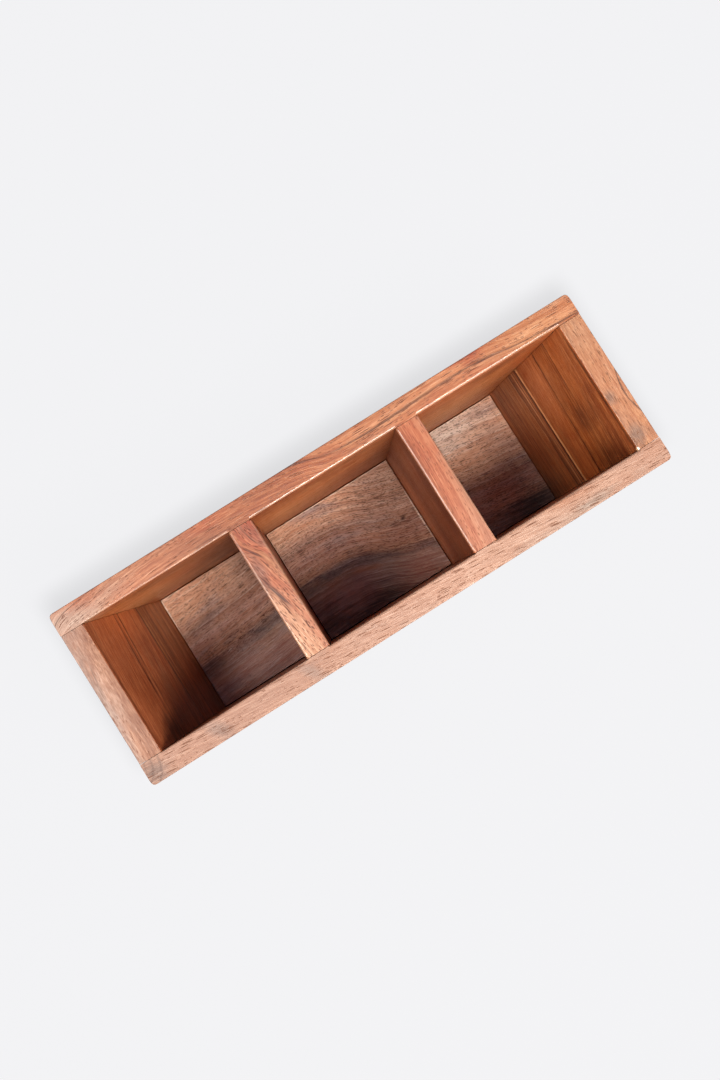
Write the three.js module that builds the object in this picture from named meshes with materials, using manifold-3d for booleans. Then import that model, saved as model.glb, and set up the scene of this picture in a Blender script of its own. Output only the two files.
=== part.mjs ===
// A three-pocket cutlery holder in oiled hardwood. Two long boards run the full length. Two sloping ends and
// two upright dividers stand between them on blind dowels, and each pocket has a floor panel of its own.
// Millimetres, +Z up, +X to the right-hand end, +Y to the back, origin at the middle of the base.

import * as THREE from 'three';
import { mergeVertices } from 'three/addons/utils/BufferGeometryUtils.js';
import Module from 'manifold-3d';

// Outside of the box
const RIM_LENGTH = 300;
const BASE_LENGTH = 248;
const WIDTH = 97;
const HEIGHT = 132;
const CORNER_RADIUS = 2;
const EDGE_EASE = 1;
const LEAST_RADIUS = 0.1; // what the easing leaves of a corner at the rim and the base

// Boards
const SIDE_THICKNESS = 12;
const END_THICKNESS = 12; // square to the sloping face
const DIVIDER_THICKNESS = 13;
const MIDDLE_POCKET_LENGTH = 83.6;
const MOUTH_EASE = 0.9;

// Height of the glue joint in each end, where it shows in the pocket
const LEFT_STAVE_JOINT = 54;
const RIGHT_STAVE_JOINT = 59;

// Floor panels, which slide into grooves along the long boards
const FLOOR_THICKNESS = 8;
const FLOOR_RECESS = 4; // from the base up to the underside
const TONGUE_THICKNESS = 4.5;
const TONGUE_LENGTH = 4;

// Blind dowels
const DOWEL_DIAMETER = 6;
const DOWEL_LENGTH = 20;
const DOWEL_IN_SIDE = 7; // length of it that is in the long board
const DOWEL_CHAMFER = 0.6;
const END_DOWEL_MARGIN = 18; // from the rim and from the glue joint
const DIVIDER_DOWEL_MARGIN = 26; // from the rim and from the floor

// Clearances
const GLUE_LINE = 0.2; // between boards that are glued
const FLOOR_GAP = 0.5; // round the visible edge of a floor panel
const TONGUE_CLEARANCE = 0.3;
const GROOVE_RUNOUT = 3; // past the last floor panel, hidden behind the end
const DOWEL_CLEARANCE = 0.15; // all round
const DOWEL_HOLE_SPARE = 0.8; // past each tip

// Steps of the rounded parts
const EASE_STEPS = 4;
const CORNER_STEPS = 3;
const DOWEL_SIDES = 16;

// What follows from those sizes
const INNER_HALF_WIDTH = WIDTH / 2 - SIDE_THICKNESS;
const FLOOR_TOP = FLOOR_RECESS + FLOOR_THICKNESS;
const DIVIDER_INNER_FACE = MIDDLE_POCKET_LENGTH / 2;
const DIVIDER_MIDDLE = DIVIDER_INNER_FACE + DIVIDER_THICKNESS / 2;
const DIVIDER_OUTER_FACE = DIVIDER_INNER_FACE + DIVIDER_THICKNESS;
const LEAN = Math.atan2((RIM_LENGTH - BASE_LENGTH) / 2, HEIGHT);
const END_ACROSS = END_THICKNESS / Math.cos(LEAN); // thickness of an end measured level
const STOCK_SPARE = 6; // rough stock left outside the finished outline
const SAME_POINT = 1e-4; // corners closer than this are one

const outerEndAt = (z) => BASE_LENGTH / 2 + z * Math.tan(LEAN);
const innerEndAt = (z) => outerEndAt(z) - END_ACROSS;

const wasm = await Module();
wasm.setup();

// A closed geometry as a solid that can be cut.
function solidOf(geometry) {
  const bare = geometry.clone();
  bare.deleteAttribute('normal');
  bare.deleteAttribute('uv');
  const merged = mergeVertices(bare, SAME_POINT);
  return new wasm.Manifold(new wasm.Mesh({
    numProp: 3,
    vertProperties: Float32Array.from(merged.attributes.position.array),
    triVerts: Uint32Array.from(merged.index.array),
  }));
}

// A finished solid as a named mesh.
function meshOf(name, solid, material) {
  const { vertProperties, triVerts } = solid.getMesh();
  const geometry = new THREE.BufferGeometry();
  geometry.setAttribute('position', new THREE.BufferAttribute(vertProperties, 3));
  geometry.setIndex(new THREE.BufferAttribute(triVerts, 1));
  geometry.computeVertexNormals();
  const mesh = new THREE.Mesh(geometry, material);
  mesh.name = name;
  return mesh;
}

const cutAll = (solid, cutters) => cutters.reduce((left, cutter) => left.subtract(cutter), solid);

// A block between two corners.
function block(low, high) {
  const size = new THREE.Vector3().subVectors(high, low);
  const middle = new THREE.Vector3().addVectors(low, high).divideScalar(2);
  const geometry = new THREE.BoxGeometry(size.x, size.y, size.z);
  return solidOf(geometry.translate(middle.x, middle.y, middle.z));
}

// An outline in X and Z, carried across the box and centred on it.
function prismAcross(outline, width) {
  const points = outline.map(([x, z]) => new THREE.Vector2(x, z));
  const geometry = new THREE.ExtrudeGeometry(new THREE.Shape(points), { depth: width, bevelEnabled: false });
  return solidOf(geometry.rotateX(Math.PI / 2).translate(0, width / 2, 0));
}

// A solid through level rings, from the lowest up, each with as many points anticlockwise.
function loft(rings) {
  const count = rings[0].length;
  const index = [];
  for (let start = 0; start < (rings.length - 1) * count; start += count) {
    for (let i = 0; i < count; i += 1) {
      const here = start + i;
      const next = start + ((i + 1) % count);
      index.push(here, next, next + count, here, next + count, here + count);
    }
  }
  const top = (rings.length - 1) * count;
  for (let i = 1; i + 1 < count; i += 1) {
    index.push(0, i + 1, i, top, top + i, top + i + 1);
  }
  const geometry = new THREE.BufferGeometry();
  geometry.setFromPoints(rings.flat());
  geometry.setIndex(index);
  return solidOf(geometry);
}

// A quarter round of an edge as pairs: how far in from the face, and how far below the top.
function quarterRound(radius) {
  return Array.from({ length: EASE_STEPS + 1 }, (_, step) => {
    const angle = (step / EASE_STEPS) * (Math.PI / 2);
    return [radius * (1 - Math.cos(angle)), radius * (1 - Math.sin(angle))];
  });
}

// The outside of the whole box: upright at the front and back, sloping at the ends, every edge eased.
function outerForm() {
  const ring = (z, inset) => {
    const x = outerEndAt(z) - inset;
    const y = WIDTH / 2 - inset;
    const radius = Math.max(CORNER_RADIUS - inset, LEAST_RADIUS);
    const outline = new THREE.Shape();
    outline.absarc(x - radius, y - radius, radius, 0, Math.PI / 2);
    outline.absarc(radius - x, y - radius, radius, Math.PI / 2, Math.PI);
    outline.absarc(radius - x, radius - y, radius, Math.PI, 1.5 * Math.PI);
    outline.absarc(x - radius, radius - y, radius, 1.5 * Math.PI, 2 * Math.PI);
    return outline.getPoints(CORNER_STEPS).map((point) => new THREE.Vector3(point.x, point.y, z));
  };
  const edge = quarterRound(EDGE_EASE);
  const lower = edge.map(([inset, drop]) => ring(drop, inset)).reverse();
  const upper = edge.map(([inset, drop]) => ring(HEIGHT - drop, inset));
  return loft([...lower, ...upper]);
}

// What sanding takes off round the mouth of a pocket: a plug that flares over the rim. The quarter round is
// carried one chord past the wall and past the rim, so that it leaves both faces cleanly.
function mouthFlare(leftAt, rightAt) {
  const profile = quarterRound(MOUTH_EASE);
  const past = ([x, y], [nextX, nextY]) => [2 * x - nextX, 2 * y - nextY];
  profile[0] = past(profile[0], profile[1]);
  profile[EASE_STEPS] = past(profile[EASE_STEPS], profile[EASE_STEPS - 1]);
  return loft(profile.map(([out, drop]) => {
    const z = HEIGHT - drop;
    const left = leftAt(z) - out;
    const right = rightAt(z) + out;
    const side = INNER_HALF_WIDTH + out;
    return [[left, -side], [right, -side], [right, side], [left, side]]
      .map(([x, y]) => new THREE.Vector3(x, y, z));
  }));
}

// The three pockets, by their walls at a height
const pockets = {
  left: [(z) => -innerEndAt(z), () => -DIVIDER_OUTER_FACE],
  middle: [() => -DIVIDER_INNER_FACE, () => DIVIDER_INNER_FACE],
  right: [() => DIVIDER_OUTER_FACE, (z) => innerEndAt(z)],
};
const mouths = Object.values(pockets).map(([leftAt, rightAt]) => mouthFlare(leftAt, rightAt));

// Dowels of one upright board, in a row up each of its two joints
function dowelRows(board, middleAt, heights) {
  const reach = INNER_HALF_WIDTH + DOWEL_IN_SIDE - DOWEL_LENGTH / 2;
  return heights.flatMap((z, i) => [['front', -1], ['back', 1]].map(([face, side]) => ({
    name: `${board}_${face}_dowel_${i + 1}`,
    board,
    face,
    centre: new THREE.Vector3(middleAt(z), side * reach, z),
  })));
}

const endDowelHeights = (joint) => [
  (FLOOR_TOP + joint) / 2,
  joint + END_DOWEL_MARGIN,
  HEIGHT - END_DOWEL_MARGIN,
];
const dividerDowelHeights = [FLOOR_TOP + DIVIDER_DOWEL_MARGIN, HEIGHT - DIVIDER_DOWEL_MARGIN];
const endMiddleAt = (z) => outerEndAt(z) - END_ACROSS / 2;
const dowels = [
  ...dowelRows('left_end', (z) => -endMiddleAt(z), endDowelHeights(LEFT_STAVE_JOINT)),
  ...dowelRows('right_end', endMiddleAt, endDowelHeights(RIGHT_STAVE_JOINT)),
  ...dowelRows('left_divider', () => -DIVIDER_MIDDLE, dividerDowelHeights),
  ...dowelRows('right_divider', () => DIVIDER_MIDDLE, dividerDowelHeights),
];

function dowelHole({ centre }) {
  const radius = DOWEL_DIAMETER / 2 + DOWEL_CLEARANCE;
  const length = DOWEL_LENGTH + 2 * DOWEL_HOLE_SPARE;
  const geometry = new THREE.CylinderGeometry(radius, radius, length, DOWEL_SIDES);
  return solidOf(geometry.translate(centre.x, centre.y, centre.z));
}

const holesOfBoard = (board) => dowels.filter((dowel) => dowel.board === board).map(dowelHole);
const holesOfFace = (face) => dowels.filter((dowel) => dowel.face === face).map(dowelHole);

// A long board: the slab of the outer form outside the pockets, with its groove and dowel holes.
function longBoard(face, side) {
  const length = RIM_LENGTH / 2 + STOCK_SPARE;
  const inner = side * INNER_HALF_WIDTH;
  const outer = side * (WIDTH / 2 + STOCK_SPARE);
  const slab = block(
    new THREE.Vector3(-length, Math.min(inner, outer), -STOCK_SPARE),
    new THREE.Vector3(length, Math.max(inner, outer), HEIGHT + STOCK_SPARE),
  );
  const grooveEnd = innerEndAt(FLOOR_TOP) + GROOVE_RUNOUT;
  const grooveFloor = side * (INNER_HALF_WIDTH + TONGUE_LENGTH + TONGUE_CLEARANCE);
  const groove = block(
    new THREE.Vector3(-grooveEnd, Math.min(0, grooveFloor), FLOOR_RECESS - TONGUE_CLEARANCE),
    new THREE.Vector3(grooveEnd, Math.max(0, grooveFloor), FLOOR_RECESS + TONGUE_THICKNESS + TONGUE_CLEARANCE),
  );
  return cutAll(slab.intersect(outerForm()), [groove, ...mouths, ...holesOfFace(face)]);
}

// The two staves of a sloping end. Their glue joint is square to the sloping faces, so it drops outwards.
function endStaves(board, side, jointHeight) {
  const width = 2 * (INNER_HALF_WIDTH - GLUE_LINE);
  const acrossJoint = END_THICKNESS + STOCK_SPARE;
  const low = -STOCK_SPARE;
  const high = HEIGHT + STOCK_SPARE;
  const jointAt = (along) => {
    const inner = [
      innerEndAt(jointHeight) + along * Math.sin(LEAN),
      jointHeight + along * Math.cos(LEAN),
    ];
    const outer = [inner[0] + acrossJoint * Math.cos(LEAN), inner[1] - acrossJoint * Math.sin(LEAN)];
    return [inner, outer];
  };
  const [lowerInner, lowerOuter] = jointAt(-GLUE_LINE / 2);
  const [upperInner, upperOuter] = jointAt(GLUE_LINE / 2);
  const lower = [[innerEndAt(low), low], lowerInner, lowerOuter, [outerEndAt(low) + STOCK_SPARE, low]];
  const upper = [upperInner, [innerEndAt(high), high], [outerEndAt(high) + STOCK_SPARE, high], upperOuter];
  const cutters = [...mouths, ...holesOfBoard(board)];
  return [lower, upper].map((outline) => {
    const stock = prismAcross(outline.map(([x, z]) => [side * x, z]), width);
    return cutAll(stock.intersect(outerForm()), cutters);
  });
}

function divider(board, side) {
  const width = INNER_HALF_WIDTH - GLUE_LINE;
  const middle = side * DIVIDER_MIDDLE;
  const upright = block(
    new THREE.Vector3(middle - DIVIDER_THICKNESS / 2, -width, 0),
    new THREE.Vector3(middle + DIVIDER_THICKNESS / 2, width, HEIGHT),
  );
  return cutAll(upright, [...mouths, ...holesOfBoard(board)]);
}

// A floor panel: its ends follow the walls of its pocket, and a rebate along the front and back leaves the
// tongues that sit in the grooves.
function floorPanel([leftAt, rightAt]) {
  const outline = [
    [leftAt(FLOOR_RECESS) + FLOOR_GAP, FLOOR_RECESS],
    [rightAt(FLOOR_RECESS) - FLOOR_GAP, FLOOR_RECESS],
    [rightAt(FLOOR_TOP) - FLOOR_GAP, FLOOR_TOP],
    [leftAt(FLOOR_TOP) + FLOOR_GAP, FLOOR_TOP],
  ];
  const shoulder = INNER_HALF_WIDTH - FLOOR_GAP;
  const panel = prismAcross(outline, 2 * (INNER_HALF_WIDTH + TONGUE_LENGTH));
  const rebates = [-1, 1].map((side) => {
    const edge = side * (INNER_HALF_WIDTH + TONGUE_LENGTH + STOCK_SPARE);
    return block(
      new THREE.Vector3(-RIM_LENGTH, Math.min(side * shoulder, edge), FLOOR_RECESS + TONGUE_THICKNESS),
      new THREE.Vector3(RIM_LENGTH, Math.max(side * shoulder, edge), FLOOR_TOP + STOCK_SPARE),
    );
  });
  return cutAll(panel, rebates);
}

// A dowel with chamfered tips, lying along Y.
function dowelForm() {
  const radius = DOWEL_DIAMETER / 2;
  const tip = DOWEL_LENGTH / 2;
  const profile = [
    [0, -tip],
    [radius - DOWEL_CHAMFER, -tip],
    [radius, DOWEL_CHAMFER - tip],
    [radius, tip - DOWEL_CHAMFER],
    [radius - DOWEL_CHAMFER, tip],
    [0, tip],
  ].map(([x, y]) => new THREE.Vector2(x, y));
  return solidOf(new THREE.LatheGeometry(profile, DOWEL_SIDES));
}

const oiledWood = (color) => new THREE.MeshStandardMaterial({ color, roughness: 0.5, metalness: 0 });
const longBoardWood = oiledWood(0xd39a7c);
const endWood = oiledWood(0x9a5530);
const dividerWood = oiledWood(0xd98a66);
const floorWood = oiledWood(0x8a6152);
const dowelWood = new THREE.MeshStandardMaterial({ color: 0xd8bd94, roughness: 0.7, metalness: 0 });

const holder = new THREE.Group();
holder.add(meshOf('front_board', longBoard('front', -1), longBoardWood));
holder.add(meshOf('back_board', longBoard('back', 1), longBoardWood));

for (const [board, side, joint] of [['left_end', -1, LEFT_STAVE_JOINT], ['right_end', 1, RIGHT_STAVE_JOINT]]) {
  const [lower, upper] = endStaves(board, side, joint);
  holder.add(meshOf(`${board}_lower_stave`, lower, endWood));
  holder.add(meshOf(`${board}_upper_stave`, upper, endWood));
}

for (const [board, side] of [['left_divider', -1], ['right_divider', 1]]) {
  holder.add(meshOf(board, divider(board, side), dividerWood));
}

for (const [name, walls] of Object.entries(pockets)) {
  holder.add(meshOf(`${name}_floor_panel`, floorPanel(walls), floorWood));
}

const dowelSolid = dowelForm();
for (const { name, centre } of dowels) {
  const dowel = meshOf(name, dowelSolid, dowelWood);
  dowel.position.copy(centre);
  holder.add(dowel);
}

export default holder;
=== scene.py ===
import math
import bmesh
import bpy
from mathutils import Euler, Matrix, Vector, noise


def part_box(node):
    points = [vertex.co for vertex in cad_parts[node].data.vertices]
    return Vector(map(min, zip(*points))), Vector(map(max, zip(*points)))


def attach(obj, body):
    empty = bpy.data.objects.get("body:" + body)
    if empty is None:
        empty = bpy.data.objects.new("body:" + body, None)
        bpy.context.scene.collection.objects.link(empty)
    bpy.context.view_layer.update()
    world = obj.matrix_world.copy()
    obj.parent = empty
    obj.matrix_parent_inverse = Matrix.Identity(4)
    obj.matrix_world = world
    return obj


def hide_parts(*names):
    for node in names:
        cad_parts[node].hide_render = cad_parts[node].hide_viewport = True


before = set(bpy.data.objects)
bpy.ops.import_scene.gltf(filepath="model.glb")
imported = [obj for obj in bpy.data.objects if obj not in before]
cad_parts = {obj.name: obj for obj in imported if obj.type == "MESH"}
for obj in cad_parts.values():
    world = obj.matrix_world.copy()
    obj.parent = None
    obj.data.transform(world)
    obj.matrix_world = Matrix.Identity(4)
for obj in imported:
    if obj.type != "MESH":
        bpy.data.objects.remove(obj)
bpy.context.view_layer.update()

scene = bpy.context.scene

# The front and back boards are the two long sides: 12 mm acacia boards that stand upright, with their ends
# sawn to the slope of the end walls. They are glued and dowelled to the uprights, and the rim is then sanded
# round by hand, so its arrises are soft and a little uneven.
MM = 0.001
END_LEAN = 26 / 132
BASE_HALF_LENGTH = 124 * MM
CORNER_RADIUS = 2 * MM
RIM_EASE = 0.5 * MM
CORNER_STEPS = 5
RIM_STEPS = 4
BARELY_WORN = 0.1
SHARP_RADIANS = 0.5
SAND_WANDER = 14 * MM
SAND_DEPTH = 0.14 * MM
SAND_SEED = 7
SLICE = 5 * MM
FACING = 0.7
TINY = 0.01 * MM
KNOT_DARK = "#331609"
# The paler colour of the arrises: partly worn wood, partly a painted highlight.
ARRIS_WEAR_AND_HIGHLIGHT = "#b3917a"

back_low, back_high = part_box("back_board")
divider_low, divider_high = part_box("right_divider")
height = back_high.z
board_thickness = back_high.y - back_low.y


def outer_end(z):
    """How far from the middle the outside of an end wall is at a height."""
    return BASE_HALF_LENGTH + z * END_LEAN


def inner_end(z):
    """How far from the middle the inside of an end wall is at a height."""
    return outer_end(z) - board_thickness * math.hypot(1, END_LEAN)


def sawn_board(low, high):
    """A board sawn square, between two corners."""
    low = Vector(low)
    high = Vector(high)
    bm = bmesh.new()
    bmesh.ops.create_cube(bm, size=1.0)
    bmesh.ops.scale(bm, vec=high - low, verts=bm.verts)
    bmesh.ops.translate(bm, vec=(low + high) / 2, verts=bm.verts)
    bm.verts.layers.float.new("arris")
    return bm


def slice_up(bm, axis, places):
    """Cuts the mesh, without opening it, at these places along an axis."""
    for place in places:
        point = Vector((0, 0, 0))
        point[axis] = place
        normal = Vector((0, 0, 0))
        normal[axis] = 1
        geometry = bm.verts[:] + bm.edges[:] + bm.faces[:]
        bmesh.ops.bisect_plane(bm, geom=geometry, dist=TINY, plane_co=point, plane_no=normal)


def ease(bm, radius, steps, belongs, worn=1.0):
    """Rounds the sharp edges whose two ends both belong, and marks how worn the new roundings are."""
    edges = []
    for edge in bm.edges:
        ends = [vert.co for vert in edge.verts]
        if all(belongs(end) for end in ends) and edge.calc_face_angle(0) > SHARP_RADIANS:
            edges.append(edge)
    made = bmesh.ops.bevel(
        bm, geom=edges, offset=radius, offset_type="OFFSET", segments=steps, profile=0.5,
        affect="EDGES", clamp_overlap=True, material=-1,
    )
    arris = bm.verts.layers.float["arris"]
    rounding = set(made["faces"])
    for vert in made["verts"]:
        vert[arris] = worn * all(face in rounding for face in vert.link_faces)


def hand_sand(bm):
    """Moves the arrises in and out a little, as sanding by hand leaves them, and the same on every run."""
    noise.seed_set(SAND_SEED)
    arris = bm.verts.layers.float["arris"]
    for vert in bm.verts:
        if vert[arris] > 0:
            vert.co += noise.noise_vector(vert.co / SAND_WANDER) * SAND_DEPTH * vert[arris]


def put_in_place(bm, node, finish, material, looks_in):
    """Makes the mesh the piece that stands for a CAD node, and marks its faces that look into a pocket."""
    bmesh.ops.remove_doubles(bm, verts=bm.verts, dist=TINY / 10)
    bmesh.ops.recalc_face_normals(bm, faces=bm.faces)
    arris = bm.verts.layers.float["arris"]
    pocket_side = bm.faces.layers.float.new("pocket_side")
    for face in bm.faces:
        face.smooth = any(vert[arris] > 0 for vert in face.verts)
        face[pocket_side] = float(looks_in(face.normal))
    mesh = bpy.data.meshes.new(f"{node}_{finish}")
    bm.to_mesh(mesh)
    bm.free()
    mesh.materials.append(material)
    piece = bpy.data.objects.new(f"{node}_{finish}", mesh)
    scene.collection.objects.link(piece)
    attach(piece, "root")
    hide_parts(node)


def linear(code):
    """An sRGB colour such as #c78b71 as linear red, green, blue and alpha."""
    shares = [int(code[at:at + 2], 16) / 255 for at in (1, 3, 5)]
    return [s / 12.92 if s <= 0.04045 else ((s + 0.055) / 1.055) ** 2.4 for s in shares] + [1.0]


def new_material(name):
    """A material with nothing in its node tree yet."""
    material = bpy.data.materials.new(name)
    material.use_nodes = True
    material.node_tree.nodes.clear()
    return material


def add(tree, kind, inputs, **settings):
    """Adds a node with its settings, and links or sets its inputs."""
    node = tree.nodes.new("ShaderNode" + kind)
    for key, value in settings.items():
        setattr(node, key, value)
    for key, value in inputs.items():
        if isinstance(value, bpy.types.NodeSocket):
            tree.links.new(value, node.inputs[key])
        else:
            node.inputs[key].default_value = value
    return node


def follow_grain(tree, log, course, runs_out, fades, sway):
    """The place in the log, moved so that the grain keeps its course, and then by waves 130 mm by 40 mm."""
    starts = [start for start, shift in course]
    shifts = [shift for start, shift in course]
    low_shift = min(shifts)
    span = max(max(shifts) - low_shift, 0.1)
    length = starts[-1] - starts[0]
    spot = add(tree, "SeparateXYZ", {0: log}).outputs
    share = add(tree, "MapRange", {0: spot["X"], 1: starts[0], 2: starts[-1]}).outputs[0]
    curve = add(tree, "FloatCurve", {"Value": share})
    points = curve.mapping.curves[0].points
    points[0].location = (0, (shifts[0] - low_shift) / span)
    points[1].location = (1, (shifts[-1] - low_shift) / span)
    for start, shift in course[1:-1]:
        points.new((start - starts[0]) / length, (shift - low_shift) / span)
    curve.mapping.update()
    drift = add(tree, "Math", {
        0: curve.outputs[0], 1: -span, 2: -low_shift,
    }, operation="MULTIPLY_ADD").outputs[0]
    if fades:
        held = add(tree, "MapRange", {0: spot["Z"], 1: fades[0], 2: fades[1], 3: 0.45, 4: 1.0}).outputs[0]
        drift = add(tree, "Math", {0: drift, 1: held}, operation="MULTIPLY").outputs[0]
    drift = add(tree, "CombineXYZ", {runs_out: drift}).outputs[0]
    grain = add(tree, "VectorMath", {0: log, 1: drift}, operation="ADD").outputs[0]
    wave = add(tree, "VectorMath", {0: grain, 1: (1 / 130, 1 / 40, 1 / 40)}, operation="MULTIPLY").outputs[0]
    waves = add(tree, "TexNoise", {"Vector": wave, "Scale": 1.0, "Detail": 4.0, "Roughness": 0.5})
    return add(tree, "VectorMath", {
        0: waves.outputs["Color"], 1: (0, 2 * sway, 2 * sway), 2: grain,
    }, operation="MULTIPLY_ADD").outputs[0]


def open_pores(tree, grain, fibre, cluster, long_share, short_share, scale):
    """How much of a pore there is: vessels up to 7 mm by 0.5 mm and short pores up to 3 mm by 0.4 mm, times
    the scale, in clusters. Both are drawn about twice as wide as real ones, so that they show."""
    crowd = add(tree, "MapRange", {0: cluster, 1: 0.35, 2: 0.65, 3: 0.3, 4: -0.3}).outputs[0]
    hollows = []
    for long, wide, share, depth in ((13, 0.8, long_share, 0.95), (3.8, 0.64, short_share, 0.9)):
        size = Vector((1 / long, 1 / wide, 1 / wide)) / scale
        vessel = add(tree, "VectorMath", {0: grain, 1: size}, operation="MULTIPLY").outputs[0]
        vessels = add(tree, "TexVoronoi", {"Vector": vessel, "Scale": 1.0, "Randomness": 1.0})
        brink = add(tree, "Math", {
            0: fibre, 1: 0.3, 2: vessels.outputs["Distance"],
        }, operation="MULTIPLY_ADD").outputs[0]
        hollow = add(tree, "MapRange", {0: brink, 1: 0.5, 2: 0.36}).outputs[0]
        lot = add(tree, "SeparateColor", {0: vessels.outputs["Color"]}).outputs[0]
        lot = add(tree, "Math", {0: lot, 1: crowd}, operation="ADD").outputs[0]
        chosen = add(tree, "MapRange", {0: lot, 1: share, 2: share - 0.25, 3: 0.0, 4: depth}).outputs[0]
        hollows.append(add(tree, "Math", {0: hollow, 1: chosen}, operation="MULTIPLY").outputs[0])
    return add(tree, "Math", {0: hollows[0], 1: hollows[1]}, operation="MAXIMUM").outputs[0]


def acacia(
    name, turn, pith, rings, course, runs_out, sway, feather, tones, pores, blush, grey,
    painted_wall_light=None, wall_tone=1.0, fades=None, porous=None, lines=(), knots=(), stains_and_painted_light=(),
    rough=0.42, relief=0.2, bare=0.2,
):
    """Acacia, planed, sanded and oiled to a satin sheen. To the eye that is warm orange to pink wood with
    growth lines that wander, short dark pores along the grain, and paler arrises that catch the light.

    All lengths are in millimetres.
    turn, pith: carry the part's places to a log whose pith is the X axis, so they say where the board was
        sawn from it.
    rings: radius in the log, and colour there.
    course, runs_out, fades: places along the log and how far the grain has run out there, towards the log's
        Y or Z, and two heights in the log between which that grows to its full measure.
    sway, feather: how far the waves and the fibres push the rings aside.
    tones, wall_tone: how much growth lines, streaks and fibres darken the wood, and how many times as much
        they do so on the walls of the pockets.
    pores, porous: share of long vessels, share of short pores, scale and colour, and the radius where only a
        quarter of each pore shows and the one where all of it does.
    blush, grey: colour and strength of warm clouds and of mineral stain.
    painted_wall_light: what red, green and blue are multiplied by on the walls of the pockets, painted light
    and shade that stands in for the redder light bounced between them.
    lines: radius, half width, strength and colour of a dark growth line.
    knots: place, reach, how far it draws the rings aside, radius and half width of its dark ring, strength.
    stains_and_painted_light: place, reach, angle, strength and colour of a patch. Some patches are the wood's
    own stain and marks, and some are painted light and shade. At a height of 132 a patch is on the rim,
    at 12 on the floors, and in between on the walls of the pockets.
    rough, relief, bare: roughness, depth of the grain, and how much paler the arrises are, partly worn wood
    and partly a painted highlight."""
    material = new_material(name)
    tree = material.node_tree
    turned = Euler([math.radians(angle) for angle in turn])
    # The waves push by as much as sway on average, and the place of the pith takes that back.
    centre = Vector((pith[0], pith[1] - sway, pith[2] - sway))
    place = add(tree, "TexCoord", {}).outputs["Object"]
    log = add(tree, "Mapping", {
        "Vector": place, "Location": centre, "Rotation": turned, "Scale": (1 / MM, 1 / MM, 1 / MM),
    }).outputs[0]
    grain = follow_grain(tree, log, course, runs_out, fades, sway)

    # Streaks 28 mm by 1.2 mm and fibres 7 mm by 0.6 mm. Real fibres are finer than the render shows, so these
    # are drawn about ten times as wide.
    strands = []
    for long, wide, roughness in ((28, 1.2, 0.65), (7, 0.6, 0.7)):
        strand = add(tree, "VectorMath", {0: grain, 1: (1 / long, 1 / wide, 1 / wide)}, operation="MULTIPLY")
        strands.append(add(tree, "TexNoise", {
            "Vector": strand.outputs[0], "Scale": 1.0, "Detail": 3.0, "Roughness": roughness,
        }).outputs[0])
    streak, fibre = strands

    # The growth rings: distance from the pith, feathered by the fibres and drawn aside round each knot.
    across = add(tree, "VectorMath", {0: grain, 1: (0, 1, 1)}, operation="MULTIPLY").outputs[0]
    ring = add(tree, "VectorMath", {0: across}, operation="LENGTH").outputs["Value"]
    ring = add(tree, "Math", {0: streak, 1: feather, 2: ring}, operation="MULTIPLY_ADD").outputs[0]
    ring = add(tree, "Math", {0: fibre, 1: 0.6 * feather, 2: ring}, operation="MULTIPLY_ADD").outputs[0]
    ring = add(tree, "Math", {0: ring, 1: 0.8 * feather}, operation="SUBTRACT").outputs[0]
    cores = []
    for spot, reach, pull, radius, half, strength in knots:
        heart = turned.to_matrix() @ Vector(spot) + centre
        away = add(tree, "VectorMath", {0: log, 1: heart}, operation="DISTANCE").outputs["Value"]
        swirl = add(tree, "MapRange", {
            0: away, 1: 0.0, 2: reach, 3: pull, 4: 0.0,
        }, interpolation_type="SMOOTHERSTEP").outputs[0]
        ring = add(tree, "Math", {0: ring, 1: swirl}, operation="ADD").outputs[0]
        away = add(tree, "Math", {0: streak, 1: 3 * half, 2: away}, operation="MULTIPLY_ADD").outputs[0]
        brink = add(tree, "Math", {0: away, 1: radius + 1.5 * half}, operation="SUBTRACT").outputs[0]
        brink = add(tree, "Math", {0: brink}, operation="ABSOLUTE").outputs[0]
        core = add(tree, "MapRange", {0: brink, 1: 0.3 * half, 2: half, 3: strength, 4: 0.0}).outputs[0]
        cores.append(core)
    inmost = rings[0][0]
    outmost = rings[-1][0]
    spread = add(tree, "MapRange", {0: ring, 1: inmost, 2: outmost}).outputs[0]
    figure = add(tree, "ValToRGB", {0: spread})
    stops = figure.color_ramp.elements
    stops.remove(stops[1])
    stops[0].position = 0
    stops[0].color = linear(rings[0][1])
    for radius, code in rings[1:]:
        stop = stops.new((radius - inmost) / (outmost - inmost))
        stop.color = linear(code)
    wood = figure.outputs[0]

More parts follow.
